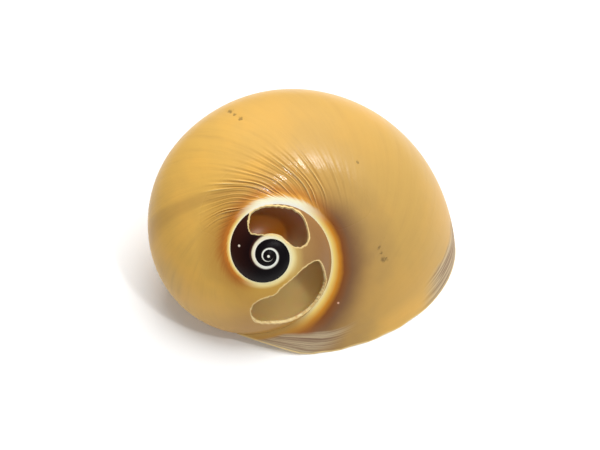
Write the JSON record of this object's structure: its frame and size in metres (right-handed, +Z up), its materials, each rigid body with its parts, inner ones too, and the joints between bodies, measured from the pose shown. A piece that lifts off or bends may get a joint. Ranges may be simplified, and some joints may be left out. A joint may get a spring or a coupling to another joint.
{
  "type": "moon snail shell",
  "caption": "Weathered moon snail shell resting on its lip, with a large rounded body whorl, a low dark spire eye and broken windows in the whorl around it.",
  "frame": {"origin": "on the resting surface, under the centre of the shell's box", "axes": "+Z up from the surface that the lip rests on; the spire's axis leans towards -Y and the lip reaches furthest towards +X"},
  "size_m": [0.0627, 0.0477, 0.0311],
  "materials": {
    "shell": "smooth, semi-gloss natural shell, tan with a dark spire eye"
  },
  "bodies": {
    "root": {"shell": "shell"}
  },
  "joints": []
}
